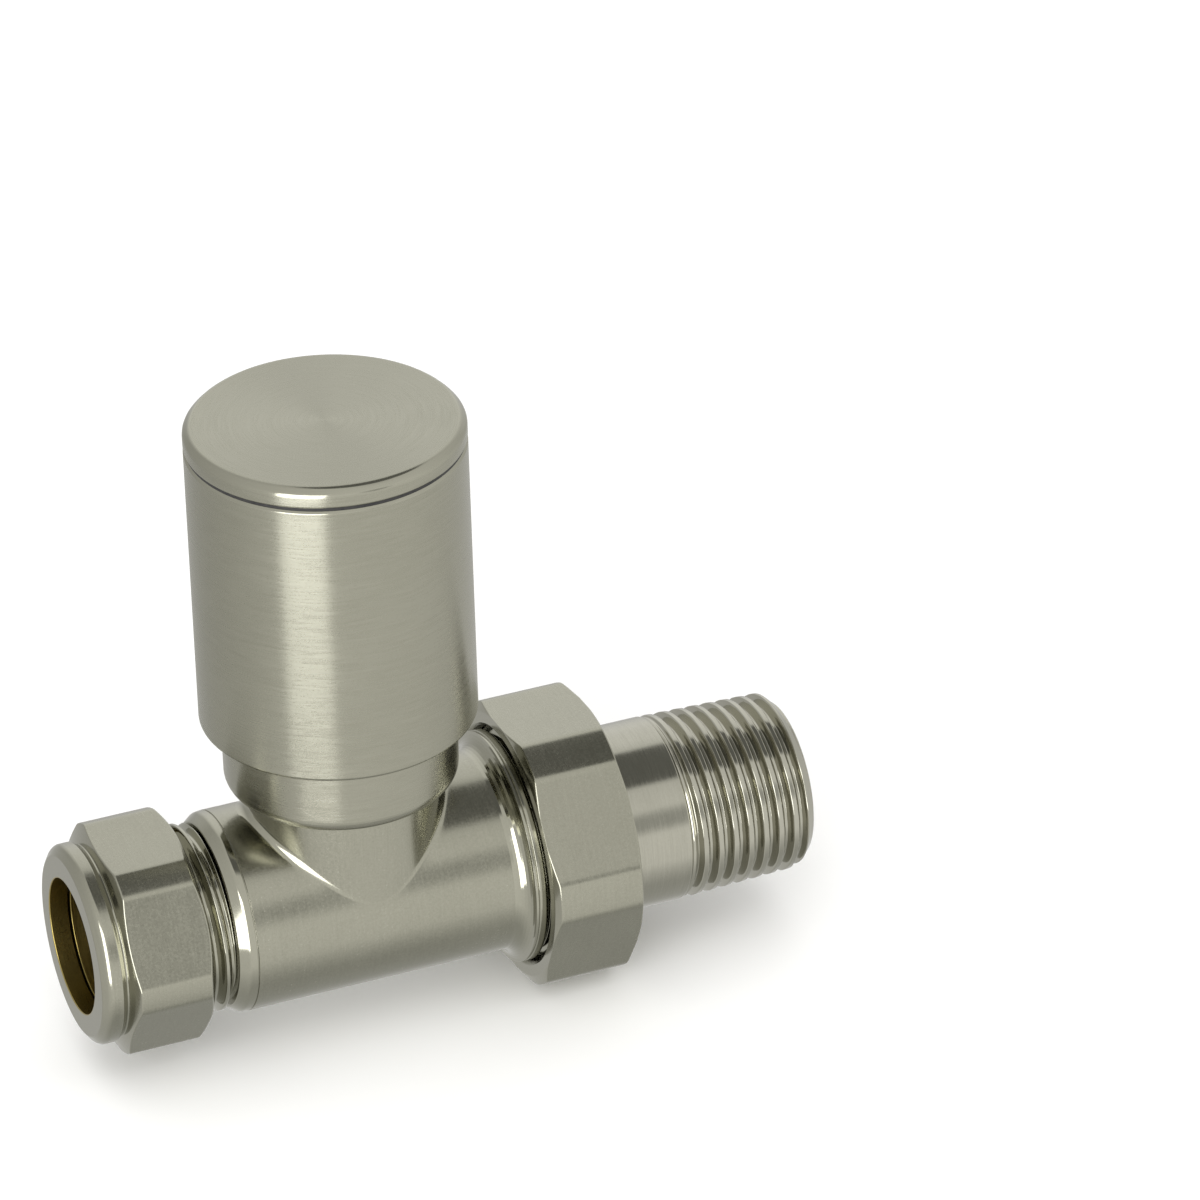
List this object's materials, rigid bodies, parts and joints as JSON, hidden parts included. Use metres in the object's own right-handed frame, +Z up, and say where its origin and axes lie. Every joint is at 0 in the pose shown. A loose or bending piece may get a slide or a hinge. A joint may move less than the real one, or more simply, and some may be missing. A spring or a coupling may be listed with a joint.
{
  "type": "lockshield radiator valve",
  "caption": "Straight radiator valve with a plain cylindrical lockshield cap, a compression nut for the pipe and a union nut on a taper-threaded tail.",
  "frame": {"origin": "centre of the pipe socket's mouth, on the pipe nut's face", "axes": "+X along the flow axis towards the radiator, +Z up the spindle axis, +Y to the back"},
  "size_m": [0.0834, 0.032, 0.073],
  "materials": {
    "satin_nickel": "satin nickel plate on brass",
    "polished_nickel": "bright nickel plate on brass",
    "brass": "turned brass",
    "rubber": "moulded rubber",
    "ptfe": "matte",
    "white_plastic": "moulded",
    "stainless": "turned"
  },
  "bodies": {
    "valve": {"valve_body": "satin_nickel", "bonnet_seal": "rubber", "shroud": "satin_nickel", "bonnet": "brass", "gland_packing": "ptfe", "gland_nut": "brass", "tail_seal": "rubber"},
    "adaptor": {"cap_adaptor": "white_plastic", "cap_oring": "rubber"},
    "cap": {"cap_shell": "satin_nickel", "cap_gasket": "rubber", "cap_disc": "satin_nickel"},
    "plug": {"jumper": "brass", "seat_washer": "rubber", "washer_screw": "stainless"},
    "regulator": {"spindle": "brass", "spindle_orings": "rubber"},
    "compression_ring": {"olive": "brass"},
    "pipe_coupling": {"pipe_nut": "satin_nickel"},
    "radiator_tail": {"tail": "polished_nickel"},
    "union": {"union_nut": "satin_nickel"}
  },
  "joints": [
    {"name": "cap_turn", "type": "hinge", "parent": "valve", "child": "adaptor", "pos_m": [0.0317, 0, 0.0298], "axis": [0, 0, 1], "continuous": true},
    {"name": "cap_lift", "type": "slide", "parent": "adaptor", "child": "cap", "axis": [0, 0, 1], "range_m": [0, 0.032]},
    {"name": "plug_rise", "type": "slide", "parent": "valve", "child": "plug", "axis": [0, 0, 1], "range_m": [0, 0.0045]},
    {"name": "spindle_turn", "type": "hinge", "parent": "plug", "child": "regulator", "pos_m": [0.0317, 0, 0.02], "axis": [0, 0, 1], "range_deg": [0, 1080]},
    {"name": "olive_draw", "type": "slide", "parent": "valve", "child": "compression_ring", "axis": [-1, 0, 0], "range_m": [0, 0.00726]},
    {"name": "pipe_nut_turn", "type": "hinge", "parent": "compression_ring", "child": "pipe_coupling", "pos_m": [0.0062, 0, 0], "axis": [-1, 0, 0], "range_deg": [0, 1440]},
    {"name": "tail_draw", "type": "slide", "parent": "valve", "child": "radiator_tail", "axis": [1, 0, 0], "range_m": [0, 0.00636]},
    {"name": "union_nut_turn", "type": "hinge", "parent": "radiator_tail", "child": "union", "pos_m": [0.0554, 0, 0], "axis": [1, 0, 0], "range_deg": [0, 1260]}
  ],
  "couplings": [
    {"joint": "spindle_turn", "follows": "plug_rise", "rad_per_m": 4188.8},
    {"joint": "olive_draw", "follows": "pipe_nut_turn", "m_per_rad": 0.00028871},
    {"joint": "tail_draw", "follows": "union_nut_turn", "m_per_rad": 0.00028871}
  ]
}
